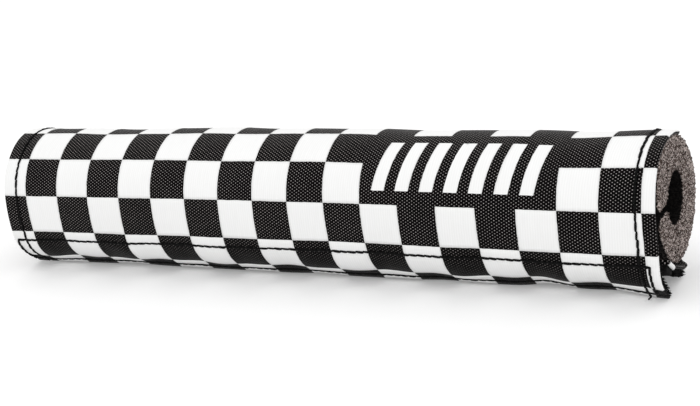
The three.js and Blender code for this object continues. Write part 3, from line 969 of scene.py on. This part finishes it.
cover = make_cover()
checker = make_checker()
bars = [make_bar(number) for number in range(BAR_COUNT)]
foam = make_foam()
hook_girths = (HOOK_START, HOOK_END)
hook_lifts = (-HOOK_INNER, -CLOTH - TAPE_SEAT)
hook_strip = make_tape("hook_strip", hook_girths, hook_lifts, -1, TAPE_RIGHT, HOOK_FRAY)
loop_girths = (LOOP_START, LOOP_END)
loop_lifts = (TAPE_SEAT, LAYER_GAP + LOOP_THICKNESS)
loop_strip = make_tape("loop_strip", loop_girths, loop_lifts, 1, LOOP_RIGHT, LOOP_FRAY, LOOP_BARE_WIDTH)
cover_stitches = make_cover_stitches()
tape_stitches = make_tape_stitches()

for piece, slot, node in (
    (cover, "cloth", "cover"),
    (checker, "ink", "white_print"),
    *[(bar, "ink", f"panel_bar_{number + 1}") for number, bar in enumerate(bars)],
    (foam, "foam", "foam_tube"),
    (hook_strip, "tape", "hook_tape"),
    (loop_strip, "tape", "loop_tape"),
    (cover_stitches, "thread", "cover_thread"),
    (tape_stitches, "thread", "loop_tape_thread"),
):
    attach(piece, "root")
    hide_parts(node)


# Stage, light and camera

FLOOR_HALF = 2000
FLOOR_DROP = 0.15
FLOOR_TONE = 0.82
FLOOR_GLOW = 0.21


def make_floor():
    """A pale floor that glows a little for the eye alone, so that it lights nothing."""
    nodes = Nodes("pale_floor")
    rays = nodes.add("ShaderNodeLightPath").outputs
    mirrored = nodes.math("MAXIMUM", rays["Is Glossy Ray"], rays["Is Transmission Ray"])
    seen = nodes.math("MAXIMUM", rays["Is Camera Ray"], mirrored)
    matt = nodes.add("ShaderNodeBsdfDiffuse", {"Color": (FLOOR_TONE, FLOOR_TONE, FLOOR_TONE, 1)})
    glow = nodes.add("ShaderNodeEmission", {"Strength": nodes.math("MULTIPLY", seen, FLOOR_GLOW)})
    both = nodes.add("ShaderNodeAddShader")
    nodes.feed(both.inputs[0], matt.outputs[0])
    nodes.feed(both.inputs[1], glow.outputs[0])
    nodes.feed(nodes.output.inputs["Surface"], both.outputs[0])
    corners = np.array([(-1, -1, 0), (1, -1, 0), (1, 1, 0), (-1, 1, 0)]) * FLOOR_HALF
    shape = Shape()
    shape.add(corners - (0, 0, FLOOR_DROP), [(0, 1, 2, 3)])
    shape.make("floor", nodes.material)


def make_world():
    world = bpy.data.worlds.new("studio")
    bpy.context.scene.world = world
    world.use_nodes = True
    tree = world.node_tree
    tree.nodes.clear()
    light = tree.nodes.new("ShaderNodeBackground")
    light.inputs["Color"].default_value = (1, 1, 1, 1)
    light.inputs["Strength"].default_value = 1.0
    output = tree.nodes.new("ShaderNodeOutputWorld")
    tree.links.new(light.outputs[0], output.inputs["Surface"])


def add_lamp(name, place, target, size, power):
    """A soft lamp that faces target. Places and sizes are in metres."""
    lamp = bpy.data.lights.new(name, "AREA")
    lamp.shape = "RECTANGLE"
    lamp.size, lamp.size_y = size
    lamp.energy = power
    holder = bpy.data.objects.new(name, lamp)
    holder.location = place
    holder.rotation_euler = (Vector(target) - Vector(place)).to_track_quat("-Z", "Y").to_euler()
    bpy.context.scene.collection.objects.link(holder)


CAMERA_PLACE = (0.27236, -0.45112, 0.21516)
CAMERA_AZIMUTH = 30.424 * DEG
CAMERA_ELEVATION = 20.369 * DEG
CAMERA_ROLL = -9.987 * DEG
IMAGE_WIDTH = 700
FOCAL_LENGTH_IN_PIXELS = 1765.1
SENSOR_WIDTH = 36.0


def make_camera():
    camera = bpy.data.cameras.new("camera")
    camera.sensor_width = SENSOR_WIDTH
    camera.lens = SENSOR_WIDTH * FOCAL_LENGTH_IN_PIXELS / IMAGE_WIDTH
    camera.clip_start = 0.01
    camera.clip_end = 20
    level = Euler((math.pi / 2 - CAMERA_ELEVATION, 0, CAMERA_AZIMUTH)).to_matrix()
    holder = bpy.data.objects.new("camera", camera)
    rolled = level @ Matrix.Rotation(CAMERA_ROLL, 3, "Z")
    holder.matrix_world = Matrix.Translation(CAMERA_PLACE) @ rolled.to_4x4()
    bpy.context.scene.collection.objects.link(holder)
    bpy.context.scene.camera = holder


make_floor()
make_world()
add_lamp("overhead", place=(0, 0.05, 0.9), target=(0, 0, 0), size=(1.2, 0.8), power=0.8)
add_lamp("front_fill", place=(0.15, -0.9, 0.45), target=(0, 0, 0.02), size=(1.2, 0.8), power=1.1)
make_camera()
bpy.context.scene.view_settings.view_transform = "Standard"
